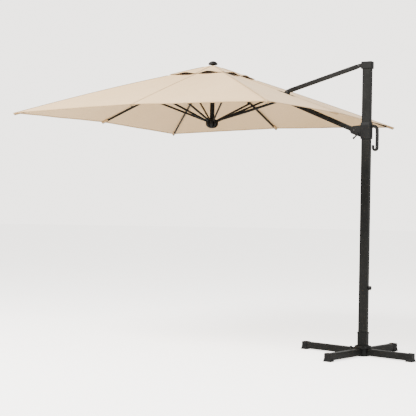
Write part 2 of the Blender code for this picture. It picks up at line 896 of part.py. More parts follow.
def build_slider(mast):
    """The collar on the mast with its liner, ears, bolts, pull handle and lever."""
    root = empty("slider_frame", (0.0, 0.0, ARM_PIVOT[1]), parent=mast)
    bottom = SLIDER_BOTTOM - ARM_PIVOT[1]
    top = SLIDER_TOP - ARM_PIVOT[1]
    hole_x = MAST_X / 2 + 0.0005 + LINER_WALL + GAP
    hole_y = MAST_Y / 2 + 0.0005 + LINER_WALL + GAP
    outline = rounded_outline(SLIDER_X / 2, SLIDER_Y / 2, 0.012)
    waist = rounded_outline(SLIDER_X / 2 - 0.002, SLIDER_Y / 2 - 0.0015, 0.011)
    crown = rounded_outline(SLIDER_X / 2 - 0.0035, SLIDER_Y / 2 - 0.0025, 0.010)
    inner = rounded_outline(hole_x, hole_y, 0.004)
    levels = [
        (waist, bottom),
        (outline, bottom + 0.004),
        (outline, top - 0.022),
        (waist, top - 0.008),
        (crown, top),
        (inner, top),
        (inner, bottom),
    ]
    collar = ring_solid([[(x, y, z) for x, y in ring] for ring, z in levels])
    item = piece("slider_collar", collar, PLASTIC, root)
    pivot_x = ARM_PIVOT[0]
    ear_outline = [
        (-SLIDER_X / 2 + 0.0035, -0.060),
        (-SLIDER_X / 2 + 0.0035, 0.040),
        *arc((pivot_x, 0.0), EAR_RADIUS, 80.0, 235.0, 8),
    ]
    for side in (-1, 1):
        low_y, high_y = sorted((side * EAR_INNER, side * (EAR_INNER + EAR_THICK)))
        cut(item, plate(ear_outline, low_y, high_y), "UNION")
    cut(item, moved(rod(0.0046, -0.03, 0.03), (pivot_x, 0.0, 0.0)))
    for side, name in ((-1, "near"), (1, "far")):
        inner_face = EAR_INNER + 0.0004
        outer_face = EAR_INNER + EAR_THICK + GAP
        bolt = turned(
            [
                (0.0, inner_face),
                (0.0042, inner_face),
                (0.0042, outer_face),
                (0.0085, outer_face),
                (0.0085, outer_face + 0.003),
                (0.0065, outer_face + 0.0055),
                (0.0, outer_face + 0.0055),
            ],
            16,
        )
        bmesh.ops.rotate(
            bolt,
            verts=bolt.verts[:],
            cent=(0, 0, 0),
            matrix=Matrix.Rotation(-side * math.pi / 2, 3, "X"),
        )
        piece(f"ear_bolt_{name}", bolt, STEEL, root, (pivot_x, 0.0, 0.0))

    liner = box_tube(
        hole_x - GAP, hole_y - GAP, LINER_WALL, bottom + 0.004, top - 0.004, 0.0045
    )
    piece("slider_liner", liner, PLASTIC, root)

    grip = (
        [(SLIDER_X / 2 + 0.0005, 0.030), (0.056, 0.030)]
        + arc((0.060, -0.005), 0.035, 85.0, 10.0, 6)
        + [(0.0955, -0.055), (0.0950, -0.130)]
        + arc((0.0780, -0.150), 0.0170, 0.0, -170.0, 8)
        + [(0.0600, -0.126)]
    )
    count = len(grip)

    def grip_tall(i):
        share = i / (count - 1)
        return 0.0130 - 0.0050 * max(0.0, (share - 0.60) / 0.40)

    handle = sweep(grip, grip_tall, 0.0140, 0.6)
    piece("pull_handle", handle, PLASTIC, root)

    lever_at = empty(
        "lock_lever_pivot", (-SLIDER_X / 2 - 0.019, -0.0316, -0.036), parent=root
    )
    boss = rod(0.0085, -0.0065, 0.0065, "Y", 18)
    lever = piece("lock_lever", boss, PLASTIC, lever_at)
    tip = (-0.036, -0.032)
    shaft = sweep([(0.0, 0.0), (tip[0] * 0.5, tip[1] * 0.5), tip], 0.0062, 0.0062, 0.5)
    cut(lever, shaft, "UNION")
    ball = turned(
        [(0.0, -0.0095), (0.007, -0.0068), (0.0095, 0.0), (0.007, 0.0068), (0.0, 0.0095)], 14
    )
    cut(lever, moved(ball, (tip[0], 0.0, tip[1])), "UNION")
    ear = [
        (-SLIDER_X / 2 + 0.0035, -0.056),
        (-SLIDER_X / 2 + 0.0035, -0.016),
        *arc((-SLIDER_X / 2 - 0.019, -0.036), 0.011, 80.0, 260.0, 6),
    ]
    cut(item, plate(ear, -0.0248, -0.0214), "UNION")
    return root


# ---------------------------------------------------------------- arm and stay


def tube_along(start, end, half_tall, half_wide, wall):
    """A rectangular tube along X, open at both ends."""
    return lying(box_tube(half_tall, half_wide, wall, start, end, 0.005))


def tube_plug(low_x, high_x, hole_half_tall, hole_half_wide):
    """The part of an end piece that fills a rectangular tube."""
    tall = hole_half_tall - GAP
    wide = hole_half_wide - GAP
    return block((low_x, -wide, -tall), (high_x, wide, tall), 0.0035, 2)


def build_stay(mast):
    """The rod from the mast's cap to the arm, with its two end pieces."""
    root = empty(
        "stay_pivot", (STAY_PIVOT[0], 0.0, STAY_PIVOT[1]), turn_y=-stay_angle(), parent=mast
    )
    length = distance(STAY_PIVOT, LINK_PIVOT)
    inset = 0.030
    piece(
        "stay_tube",
        tube_along(-length + inset, -inset, STAY_TALL / 2, STAY_WIDE / 2, STAY_WALL),
        CHARCOAL,
        root,
    )
    half = STAY_WIDE / 2
    for name, centre, side in (("upper", 0.0, 1), ("lower", -length, -1)):
        shoulder = -side * (inset - GAP)
        eye = [(side * x, z) for x, z in arc((0.0, 0.0), 0.013, -90.0, 90.0, 8)]
        outline = [
            *eye,
            (shoulder, STAY_TALL / 2 - 0.001),
            (shoulder, -STAY_TALL / 2 + 0.001),
        ]
        end = piece(
            f"stay_end_{name}",
            plate(outline, -half, half),
            PLASTIC,
            root,
            (centre, 0.0, 0.0),
        )
        low_x, high_x = sorted((shoulder + side * 0.002, shoulder - side * 0.035))
        cut(end, tube_plug(low_x, high_x, STAY_TALL / 2 - STAY_WALL, half - STAY_WALL), "UNION")
        cut(end, rod(PIN_HOLE, -0.03, 0.03))
    return root


def short_rib_path(drop):
    """Centre line of the rib on the arm, and its underside at the bracket, in the arm's frame."""
    slope = arm_angle()
    along = Vector((math.cos(slope), -math.sin(slope)))
    up = Vector((math.sin(slope), math.cos(slope)))
    lowest = drop + ARM_TALL / 2 + GAP + SHORT_RIB_TALL / 2
    points = []
    last = HALF_SIDE - 0.012
    first = SHORT_RIB_START
    for i in range(10):
        radius = first + (last - first) * i / 9
        height = cloth_height(0.0, radius / HALF_SIDE) - CLOTH_THICK - 0.0005
        offset = Vector((CENTRE_X + radius - LINK_PIVOT[0], height - LINK_PIVOT[1]))
        z = offset.dot(up) - SHORT_RIB_TALL / 2
        points.append((offset.dot(along), max(z, lowest)))
    return points, on_curve(points, 0.0) - SHORT_RIB_TALL / 2 - 0.0003


def build_arm(stay):
    """The arm from the slider to the canopy's head, with the bracket that the stay holds."""
    length = distance(STAY_PIVOT, LINK_PIVOT)
    root = empty(
        "arm_pivot", (-length, 0.0, 0.0), turn_y=stay_angle() + arm_angle(), parent=stay
    )
    slope = arm_angle()
    to_lower = Vector((ARM_PIVOT[0] - LINK_PIVOT[0], ARM_PIVOT[1] - LINK_PIVOT[1]))
    along = Vector((math.cos(slope), -math.sin(slope)))
    lower_x = to_lower.dot(along)
    drop = -(to_lower - along * lower_x).length
    upper_x = lower_x - distance(ARM_PIVOT, HEAD_PIVOT)
    inset = 0.040
    tube = tube_along(upper_x + inset, lower_x - inset, ARM_TALL / 2, ARM_WIDE / 2, ARM_WALL)
    piece("arm_tube", tube, CHARCOAL, root, (0.0, 0.0, drop))

    half = ARM_WIDE / 2
    hole_tall = ARM_TALL / 2 - ARM_WALL
    hole_wide = half - ARM_WALL
    shoulder = -(inset - GAP)
    outline = [
        (shoulder, ARM_TALL / 2),
        (shoulder, -ARM_TALL / 2),
        *arc((0.0, 0.0), 0.017, -85.0, 85.0, 8),
    ]
    lower_end = piece(
        "arm_end_lower", plate(outline, -half, half), PLASTIC, root, (lower_x, 0.0, drop)
    )
    cut(lower_end, tube_plug(shoulder - 0.04, shoulder + 0.004, hole_tall, hole_wide), "UNION")

    tongue = 0.0098
    outline = [
        (-shoulder, -ARM_TALL / 2),
        (-shoulder, ARM_TALL / 2),
        *arc((0.0, 0.0), 0.012, 95.0, 265.0, 8),
    ]
    upper_end = piece(
        "arm_end_upper", plate(outline, -tongue, tongue), PLASTIC, root, (upper_x, 0.0, drop)
    )
    tenon = block((-shoulder - 0.004, -tongue, -ARM_TALL / 2 + 0.004),
                  (-shoulder + 0.003, tongue, ARM_TALL / 2 - 0.004))
    cut(upper_end, tenon, "UNION")
    cut(upper_end, tube_plug(-shoulder + 0.001, -shoulder + 0.04, hole_tall, hole_wide), "UNION")
    cut(upper_end, rod(PIN_HOLE, -0.03, 0.03))

    saddle_low = drop + ARM_TALL / 2 + GAP
    saddle_wide = half + 0.003
    bracket = piece(
        "stay_bracket",
        block((-0.055, -saddle_wide, saddle_low), (0.045, saddle_wide, saddle_low + 0.006), 0.002),
        PLASTIC,
        root,
    )
    lug = [
        (-0.040, saddle_low + 0.003),
        (0.030, saddle_low + 0.003),
        *arc((0.0, 0.0), 0.0145, 20.0, 160.0, 6),
    ]
    stay_half = STAY_WIDE / 2
    for side in (-1, 1):
        low_y, high_y = sorted((side * (stay_half + 0.0008), side * (stay_half + 0.0048)))
        cut(bracket, plate(lug, low_y, high_y), "UNION")
    cut(bracket, rod(PIN_HOLE, -0.03, 0.03))
    short_rib, underside = short_rib_path(drop)
    rib = sweep(short_rib, SHORT_RIB_TALL / 2, RIB_WIDE / 2, 0.3)
    piece("short_rib", rib, CHARCOAL, root)
    bridge = block((-0.014, -0.010, saddle_low + 0.003), (0.014, 0.010, underside - GAP))
    cut(bracket, bridge, "UNION")
    head = stay_half + 0.0052
    pin = turned(
        [
            (0.0, -head - 0.0030),
            (0.0065, -head - 0.0030),
            (0.0070, -head - 0.0020),
            (0.0070, -head),
            (PIN_RADIUS, -head),
            (PIN_RADIUS, head),
            (0.0070, head),
            (0.0070, head + 0.0020),
            (0.0065, head + 0.0030),
            (0.0, head + 0.0030),
        ],
        16,
    )
    bmesh.ops.rotate(
        pin, verts=pin.verts[:], cent=(0, 0, 0), matrix=Matrix.Rotation(-math.pi / 2, 3, "X")
    )
    piece("link_pin", pin, STEEL, root)

    head_at = empty(
        "head_pivot", (upper_x, 0.0, drop), turn_y=-arm_angle(), parent=root
    )
    along_arm, opened, strut_length, open_slope, _ = arm_strut_layout()
    hanger_x = upper_x + along_arm
    hanger_low = drop - ARM_STRUT_DROP
    cheek = [
        (0.026, ARM_STRUT_DROP - ARM_TALL / 2 - GAP),
        (-0.026, ARM_STRUT_DROP - ARM_TALL / 2 - GAP),
        *arc((0.0, 0.0), 0.0115, 200.0, 340.0, 6),
    ]
    strut_half = ARM_STRUT_WIDE / 2
    top_z = ARM_STRUT_DROP - ARM_TALL / 2 - GAP
    hanger = piece(
        "arm_hanger",
        block((-0.030, -half, top_z - 0.0030), (0.030, half, top_z), 0.001, 1),
        PLASTIC,
        root,
        (hanger_x, 0.0, hanger_low),
    )
    for side in (-1, 1):
        low_y, high_y = sorted((side * (strut_half + 0.0008), side * (half - 0.0002)))
        cut(hanger, plate(cheek, low_y, high_y), "UNION")
    strut_at = empty(
        "arm_strut_pivot",
        (hanger_x, 0.0, hanger_low),
        turn_y=-arm_angle() - open_slope,
        parent=root,
    )
    thin = STRUT_WIDE / 2 - 0.0002
    end_x = -strut_length
    path = [(0.008, 0.0), (-0.03, 0.0), (-strut_length * 0.5, 0.0), (end_x + 0.09, 0.0),
            (end_x + 0.05, 0.0), (end_x + STRUT_CLEAR, 0.0)]
    talls = [0.0072, 0.0095, 0.0110, 0.0080, 0.0055, 0.0050]
    wides = [strut_half, strut_half, strut_half, 0.0080, thin, thin]
    strut = sweep([(x, z) for x, z in path], lambda i: talls[i], lambda i: wides[i], 0.3)
    piece("arm_strut", strut, CHARCOAL, strut_at)
    return root, head_at


# ---------------------------------------------------------------- canopy head


def build_head(head_at):
    """Hubs, post, finial, cloth, ribs and struts."""
    root = empty("canopy_axis", (CENTRE_X - HEAD_PIVOT[0], 0.0, 0.0), parent=head_at)
    hub_low = -0.019
    hub_high = 0.017
    hub = piece(
        "top_hub",
        turned(
            [
                (0.0, hub_low),
                (HUB_RADIUS - 0.004, hub_low),
                (HUB_RADIUS, hub_low + 0.004),
                (HUB_RADIUS, hub_high - 0.003),
                (HUB_RADIUS - 0.003, hub_high),
                (0.0, hub_high),
            ],
            40,
        ),
        PLASTIC,
        root,
    )
    lower_at = empty(
        "lower_hub_frame", (0.0, 0.0, LOWER_HINGE_Z - HINGE_Z), parent=root
    )
    lower = piece(
        "lower_hub",
        turned(
            [
                (0.0, 0.016),
                (HUB_RADIUS - 0.010, 0.016),
                (HUB_RADIUS - 0.002, 0.010),
                (HUB_RADIUS, 0.0),
                (HUB_RADIUS, -0.026),
                (HUB_RADIUS - 0.006, -0.042),
                (HUB_RADIUS - 0.018, -0.054),
                (HUB_RADIUS - 0.036, -0.061),
                (0.0, -0.064),
            ],
            40,
        ),
        PLASTIC,
        lower_at,
    )
    rib_slot = RIB_WIDE / 2 + 0.0006
    angles = {**CORNER_ANGLES, **MIDDLE_ANGLES}
    for degrees in angles.values():
        direction = math.radians(degrees)
        turn = Matrix.Rotation(direction, 3, "Z")
        slot = block((HINGE_RADIUS - 0.015, -rib_slot, -0.03), (0.08, rib_slot, 0.03))
        bmesh.ops.rotate(slot, verts=slot.verts[:], cent=(0, 0, 0), matrix=turn)
        cut(hub, slot)
    for degrees in (*angles.values(), 0.0):
        direction = math.radians(degrees)
        turn = Matrix.Rotation(direction, 3, "Z")
        wide = rib_slot if degrees else ARM_STRUT_WIDE / 2 + 0.0012
        slot = block((HINGE_RADIUS - 0.020, -wide, -0.08), (0.08, wide, 0.03))
        bmesh.ops.rotate(slot, verts=slot.verts[:], cent=(0, 0, 0), matrix=turn)
        cut(lower, slot)
    arm_slot = block((0.036, -0.0105, -0.03), (0.08, 0.0105, 0.03))
    cut(hub, arm_slot)
    pin_hole = moved(rod(PIN_HOLE - 0.0001, -0.024, 0.024), (HEAD_PIVOT[0] - CENTRE_X, 0.0, 0.0))
    cut(hub, pin_hole)
    piece(
        "head_pin",
        rod(PIN_RADIUS, -0.0175, 0.0175),
        STEEL,
        root,
        (HEAD_PIVOT[0] - CENTRE_X, 0.0, 0.0),
    )

    post_low = LOWER_HINGE_Z - HINGE_Z + 0.016 + GAP
    post = turned_ring(
        [
            (POST_RADIUS, post_low),
            (POST_RADIUS, hub_low - GAP),
            (POST_RADIUS - 0.002, hub_low - GAP),
            (POST_RADIUS - 0.002, post_low),
        ],
        24,
    )
    piece("centre_post", post, CHARCOAL, root)

    dome_low = APEX_Z + CAP_RISE - HINGE_Z + 0.002
    finial = turned(
        [
            (0.0, hub_high + GAP),
            (0.011, hub_high + GAP),
            (0.011, dome_low),
            (0.036, dome_low - 0.002),
            (0.043, dome_low + 0.003),
            (0.041, dome_low + 0.012),
            (0.033, dome_low + 0.022),
            (0.019, dome_low + 0.030),
            (0.008, dome_low + 0.0325),
            (0.0, dome_low + 0.033),
        ],
        32,
    )
    piece("finial", finial, PLASTIC, root)

    cloth_frame = empty("cloth_frame", (0.0, 0.0, -HINGE_Z), parent=root)
    shares = [VENT_OPENING, 0.17, 0.25, 0.36, 0.48, 0.60, 0.72, 0.83, 0.92, 1.0]
    canopy = piece(
        "canopy", cloth_solid(shares, lambda direction, share: 0.0), CLOTH, cloth_frame
    )
    slit_x = LINK_PIVOT[0] - CENTRE_X
    slit = block((slit_x - 0.075, -0.024, 2.10), (slit_x + 0.060, 0.024, 2.30))
    cut(canopy, slit)

    def cap_lift(direction, share):
        edge = max(0.0, (share - 0.10) / (CAP_EDGE - 0.10))
        between = math.sin(4.0 * direction) ** 2
        flat = CAP_RISE * (1.0 - 0.55 * edge)
        return flat + CAP_LIFT * between * edge**1.5

    shares = [CAP_START, 0.07, 0.12, 0.175, CAP_EDGE]
    cap = cloth_solid(shares, cap_lift, CAP_THICK, 32)
    piece("vent_cap", cap, CLOTH_CAP, cloth_frame)

    for name, degrees in angles.items():
        direction = math.radians(degrees)
        points = rib_curve(direction)
        pivot, length, open_slope, _ = strut_layout(direction)
        place = (HINGE_RADIUS * math.cos(direction), HINGE_RADIUS * math.sin(direction), 0.0)
        rib_at = empty(f"rib_{name}_pivot", place, turn_z=direction, parent=root)
        count = len(points)

        def tall(i, last=count - 1):
            if i == 0:
                return RIB_TALL / 2 - 0.001
            return RIB_TALL / 2 - 0.003 * (i / last)

        path = [(-0.008, 0.0), *points[1:]]
        rib = piece(f"rib_{name}", hollow_bar(path, tall, RIB_WIDE / 2, 0.3), CHARCOAL, rib_at)
        cheek_half = STRUT_WIDE / 2 + 0.0006
        cheek_out = cheek_half + 0.0026
        slope = math.atan2(
            on_curve(points, pivot[0] + 0.02) - on_curve(points, pivot[0] - 0.02), 0.04
        )
        top = STRUT_DROP - RIB_TALL / 2 + 0.004
        for side in (-1, 1):
            low_y, high_y = sorted((side * cheek_half, side * cheek_out))
            cheek = plate(
                [(0.018, top + 0.010), (-0.018, top + 0.010), *arc((0, 0), 0.008, 205.0, 335.0, 5)],
                low_y,
                high_y,
            )
            bmesh.ops.rotate(
                cheek,
                verts=cheek.verts[:],
                cent=(0, 0, 0),
                matrix=Matrix.Rotation(-slope, 3, "Y"),
            )
            cut(rib, moved(cheek, (pivot[0], 0.0, pivot[1])), "UNION")
        saddle = block(
            (-0.018, -cheek_out, STRUT_DROP - 0.001), (0.018, cheek_out, STRUT_DROP + 0.0035)
        )
        bmesh.ops.rotate(
            saddle,
            verts=saddle.verts[:],
            cent=(0, 0, 0),
            matrix=Matrix.Rotation(-slope, 3, "Y"),
        )
        cut(rib, moved(saddle, (pivot[0], 0.0, pivot[1])), "UNION")

        strut_at = empty(
            f"strut_{name}_pivot", (pivot[0], 0.0, pivot[1]), turn_y=-open_slope, parent=rib_at
        )
        path = [(0.006, 0.0), (-0.02, 0.0), (-length * 0.5, 0.0), (-length + 0.02, 0.0),
                (-length + STRUT_CLEAR, 0.0)]
        strut = hollow_bar(path, STRUT_TALL / 2, STRUT_WIDE / 2, 0.35)
        piece(f"strut_{name}", strut, CHARCOAL, strut_at)
    return root


clear_scene()
build_base()
mast_root = build_mast()
build_slider(mast_root)
stay_root = build_stay(mast_root)
arm_root, head_root = build_arm(stay_root)
build_head(head_root)
bpy.context.view_layer.update()
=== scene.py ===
import math

import bmesh
import bpy
from mathutils import Matrix, Vector, noise


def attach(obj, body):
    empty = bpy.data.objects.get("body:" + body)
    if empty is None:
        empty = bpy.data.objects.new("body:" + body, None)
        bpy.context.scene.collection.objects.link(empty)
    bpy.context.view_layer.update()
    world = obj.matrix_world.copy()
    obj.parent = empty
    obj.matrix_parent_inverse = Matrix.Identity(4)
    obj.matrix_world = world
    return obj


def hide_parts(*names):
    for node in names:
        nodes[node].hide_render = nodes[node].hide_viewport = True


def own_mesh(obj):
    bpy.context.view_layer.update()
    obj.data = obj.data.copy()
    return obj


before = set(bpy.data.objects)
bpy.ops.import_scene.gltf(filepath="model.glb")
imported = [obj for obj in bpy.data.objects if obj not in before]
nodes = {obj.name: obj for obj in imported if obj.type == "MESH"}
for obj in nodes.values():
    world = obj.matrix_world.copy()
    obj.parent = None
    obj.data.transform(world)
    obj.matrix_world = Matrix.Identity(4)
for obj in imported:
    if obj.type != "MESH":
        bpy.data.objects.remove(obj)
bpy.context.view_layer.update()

CENTRE = Vector((-1.500, 0.0, 0.0))
HALF = 1.250
APEX = 2.483
CORNER = 1.990
MIDDLE = 2.016
CORNER_BOW = 0.020
MIDDLE_BOW = 0.008
GORE_SAG = 0.012
VENT = 0.12
CAP_START = 0.020
CAP_EDGE = 0.225
CAP_RISE = 0.011
CAP_LIFT = 0.026
ARM_LINK_X = -0.735
RIBS = {
    "short": (0.0, "arm", "arm_on_stay"),
    "right": (45.0, "rib_right_body", "rib_right_fold"),
    "back": (90.0, "rib_back_body", "rib_back_fold"),
    "far": (135.0, "rib_far_body", "rib_far_fold"),
    "side": (180.0, "rib_side_body", "rib_side_fold"),
    "left": (225.0, "rib_left_body", "rib_left_fold"),
    "front": (270.0, "rib_front_body", "rib_front_fold"),
    "near": (315.0, "rib_near_body", "rib_near_fold"),
}
HALF_GORE = math.radians(22.5)
HEM_START = 0.997  # share of the reach where the edge's normal is taken
# lift of the dark sheet of painted shade under the vent's cover
CAP_SHADE_LIFT = 0.0026
STUDIO_WHITE = 3.4  # brightness of the background, seen by the camera only
FLOOR_LIFT = STUDIO_WHITE - 1.2  # what the lit floor lacks to match that background


# ---------------------------------------------------------------- materials


class Tree:
    """Short names for building a node tree."""

    def __init__(self, name):
        self.material = bpy.data.materials.new(name)
        self.material.use_nodes = True
        self.nodes = self.material.node_tree.nodes
        self.links = self.material.node_tree.links
        self.shader = self.nodes["Principled BSDF"]

    def add(self, kind, **values):
        node = self.nodes.new(kind)
        for key, value in values.items():
            if key.startswith("in_"):
                node.inputs[int(key[3:])].default_value = value
            else:
                setattr(node, key, value)
        return node

    def link(self, start, output, end, value):
        self.links.new(start.outputs[output], end.inputs[value])

    def coordinates(self, scale=(1.0, 1.0, 1.0), kind="Object"):
        source = self.add("ShaderNodeTexCoord")
        mapping = self.add("ShaderNodeMapping")
        mapping.inputs["Scale"].default_value = scale
        self.link(source, kind, mapping, "Vector")
        return mapping

    def noise(self, mapping, scale, detail=4.0, roughness=0.55):
        made = self.add("ShaderNodeTexNoise")
        made.inputs["Scale"].default_value = scale
        made.inputs["Detail"].default_value = detail
        made.inputs["Roughness"].default_value = roughness
        self.link(mapping, "Vector", made, "Vector")
        return made

    def ramp(self, source, output, low, high, first, second):
        made = self.add("ShaderNodeValToRGB")
        made.color_ramp.elements[0].position = low
        made.color_ramp.elements[1].position = high
        made.color_ramp.elements[0].color = (*first, 1.0)
        made.color_ramp.elements[1].color = (*second, 1.0)
        self.link(source, output, made, "Fac")
        return made

    def span(self, source, output, low, high, first, second):
        made = self.add("ShaderNodeMapRange")
        made.inputs["From Min"].default_value = low
        made.inputs["From Max"].default_value = high
        made.inputs["To Min"].default_value = first
        made.inputs["To Max"].default_value = second
        self.link(source, output, made, "Value")
        return made

    def maths(self, operation, first, second=None, value=None):
        made = self.add("ShaderNodeMath", operation=operation)
        self.links.new(first, made.inputs[0])
        if second is not None:
            self.links.new(second, made.inputs[1])
        elif value is not None:
            made.inputs[1].default_value = value
        return made

    def mix(self, factor, first, second, kind="MIX"):
        made = self.add("ShaderNodeMix", data_type="RGBA", blend_type=kind)
        if isinstance(factor, float):
            made.inputs["Factor"].default_value = factor
        else:
            self.links.new(factor, made.inputs["Factor"])
        self.links.new(first, made.inputs[6])
        self.links.new(second, made.inputs[7])
        return made

    def bump(self, height, strength, distance, below=None):
        made = self.add("ShaderNodeBump")
        made.inputs["Strength"].default_value = strength
        made.inputs["Distance"].default_value = distance
        self.links.new(height, made.inputs["Height"])
        if below is not None:
            self.link(below, "Normal", made, "Normal")
        return made

    def finish(self, colour=None, roughness=None, normal=None):
        if colour is not None:
            self.links.new(colour, self.shader.inputs["Base Color"])
        if roughness is not None:
            self.links.new(roughness, self.shader.inputs["Roughness"])
        if normal is not None:
            self.link(normal, "Normal", self.shader, "Normal")
        return self.material


def powder_coat(name, dark, light, highlight_and_wear_colour):
    """Fine orange-peel powder coat with dust, and convex edges painted lighter in patches: a painted edge
    highlight mixed with scuffed wear.
    """
    t = Tree(name)
    mapping = t.coordinates()
    peel = t.noise(mapping, 900.0, 3.0)
    broad = t.noise(mapping, 5.0, 6.0, 0.6)
    tone = t.ramp(broad, "Fac", 0.3, 0.72, dark, light)
    patch_noise = t.noise(mapping, 55.0, 8.0, 0.7)
    geometry = t.add("ShaderNodeNewGeometry")
    # painted highlight: convex edges are painted lighter in patches, an edge highlight mixed with scuffed wear
    edge = t.span(geometry, "Pointiness", 0.52, 0.60, 0.0, 1.0)
    patchy = t.span(patch_noise, "Fac", 0.52, 0.66, 0.0, 0.35)
    highlight_and_wear = t.maths("MULTIPLY", edge.outputs[0], patchy.outputs[0])
    highlight_and_wear_swatch = t.add("ShaderNodeRGB")
    highlight_and_wear_swatch.outputs[0].default_value = (*highlight_and_wear_colour, 1.0)
    colour = t.mix(highlight_and_wear.outputs[0], tone.outputs[0], highlight_and_wear_swatch.outputs[0])
    rough = t.span(broad, "Fac", 0.25, 0.75, 0.36, 0.52)
    normal = t.bump(peel.outputs["Fac"], 0.22, 0.0004)
    t.shader.inputs["Specular IOR Level"].default_value = 0.10
    return t.finish(colour.outputs[2], rough.outputs[0], normal)


def moulded(name, dark, light, rough_low, rough_high):
    """Grained black moulding."""
    t = Tree(name)
    mapping = t.coordinates()
    grain = t.noise(mapping, 700.0, 2.0)
    broad = t.noise(mapping, 18.0, 5.0)
    tone = t.ramp(broad, "Fac", 0.3, 0.7, dark, light)
    rough = t.span(broad, "Fac", 0.3, 0.7, rough_low, rough_high)
    normal = t.bump(grain.outputs["Fac"], 0.30, 0.0003)
    t.shader.inputs["Specular IOR Level"].default_value = 0.12
    return t.finish(tone.outputs[0], rough.outputs[0], normal)


def brushed(name):
    """Blackened steel with fine turning marks."""
    t = Tree(name)
    mapping = t.coordinates((40.0, 900.0, 40.0))
    marks = t.noise(mapping, 3.0, 3.0)
    plain = t.coordinates()
    broad = t.noise(plain, 60.0, 4.0)
    tone = t.ramp(broad, "Fac", 0.3, 0.75, (0.045, 0.045, 0.044), (0.090, 0.090, 0.088))
    rough = t.span(marks, "Fac", 0.3, 0.7, 0.24, 0.42)
    normal = t.bump(marks.outputs["Fac"], 0.15, 0.0002)
    t.shader.inputs["Metallic"].default_value = 1.0
    return t.finish(tone.outputs[0], rough.outputs[0], normal)


def woven(name, dark, light, glow=0.30, stitched=False):
    """Woven polyester: threads both ways, slubs, soft stains and, on strips, stitches."""
    t = Tree(name)
    mapping = t.coordinates(kind="UV")
    heights = []
    for direction in ("X", "Y"):
        threads = t.add("ShaderNodeTexWave", wave_type="BANDS", bands_direction=direction)
        threads.inputs["Scale"].default_value = 260.0
        threads.inputs["Distortion"].default_value = 1.2
        threads.inputs["Detail"].default_value = 2.0
        threads.inputs["Detail Scale"].default_value = 2.0
        t.link(mapping, "Vector", threads, "Vector")
        heights.append(threads.outputs["Fac"])
    weave = t.maths("MULTIPLY", heights[0], heights[1])
    place = t.coordinates()
    broad = t.noise(place, 1.7, 5.0, 0.6)
    fine = t.noise(place, 46.0, 6.0, 0.65)
    tone = t.ramp(broad, "Fac", 0.28, 0.74, dark, light)
    fleck = t.span(fine, "Fac", 0.3, 0.7, 0.94, 1.03)
    dyed = t.mix(1.0, tone.outputs[0], fleck.outputs[0], "MULTIPLY")
    shade = t.span(weave, 0, 0.0, 1.0, 0.93, 1.02)
    colour = t.mix(1.0, dyed.outputs[2], shade.outputs[0], "MULTIPLY")
    soft = t.noise(place, 9.0, 3.0)
    normal = t.bump(weave.outputs[0], 0.35, 0.0005)
    normal = t.bump(soft.outputs["Fac"], 0.12, 0.006, normal)
    last = colour.outputs[2]
    if stitched:
        stitches = t.add("ShaderNodeTexBrick", offset=0.0, squash=1.0)
        stitches.inputs["Color1"].default_value = (0.0, 0.0, 0.0, 1.0)
        stitches.inputs["Color2"].default_value = (0.0, 0.0, 0.0, 1.0)
        stitches.inputs["Mortar"].default_value = (1.0, 1.0, 1.0, 1.0)
        stitches.inputs["Scale"].default_value = 1.0
        stitches.inputs["Mortar Size"].default_value = 0.0009
        stitches.inputs["Brick Width"].default_value = 0.0044
        stitches.inputs["Row Height"].default_value = 0.0120
        t.link(mapping, "Vector", stitches, "Vector")
        thread = t.add("ShaderNodeRGB")
        thread.outputs[0].default_value = (dark[0] * 0.66, dark[1] * 0.64, dark[2] * 0.62, 1.0)
        last = t.mix(stitches.outputs["Fac"], last, thread.outputs[0]).outputs[2]
        normal = t.bump(stitches.outputs["Fac"], 0.5, 0.0006, normal)
    t.shader.inputs["Sheen Weight"].default_value = 0.15
    t.shader.inputs["Sheen Roughness"].default_value = 0.5
    t.shader.inputs["Specular IOR Level"].default_value = 0.25
    rough = t.span(fine, "Fac", 0.2, 0.8, 0.82, 0.95)
    made = t.finish(last, rough.outputs[0], normal)
    through = t.add("ShaderNodeBsdfTranslucent")
    warm = t.add("ShaderNodeRGB")
    warm.outputs[0].default_value = (0.86, 0.80, 0.70, 1.0)
    passed = t.mix(1.0, last, warm.outputs[0], "MULTIPLY")
    t.links.new(passed.outputs[2], through.inputs["Color"])
    t.link(normal, "Normal", through, "Normal")
    blend = t.add("ShaderNodeMixShader")
    blend.inputs["Fac"].default_value = glow
    t.link(t.shader, "BSDF", blend, 1)
    t.link(through, "BSDF", blend, 2)
    output = t.nodes["Material Output"]
    t.link(blend, "Shader", output, "Surface")
    return made


def pale_floor():
    """Matt studio floor, almost white, lifted for the camera to meet the background."""
    t = Tree("studio_floor")
    mapping = t.coordinates()
    broad = t.noise(mapping, 0.6, 4.0)
    tone = t.ramp(broad, "Fac", 0.3, 0.7, (0.86, 0.85, 0.84), (0.88, 0.87, 0.86))
    rough = t.span(broad, "Fac", 0.3, 0.7, 0.85, 0.95)
    seen = t.add("ShaderNodeLightPath")
    lit = t.maths("MULTIPLY", seen.outputs["Is Camera Ray"], value=FLOOR_LIFT)
    t.shader.inputs["Emission Color"].default_value = (1.0, 0.965, 0.915, 1.0)
    t.links.new(lit.outputs[0], t.shader.inputs["Emission Strength"])
    return t.finish(tone.outputs[0], rough.outputs[0])


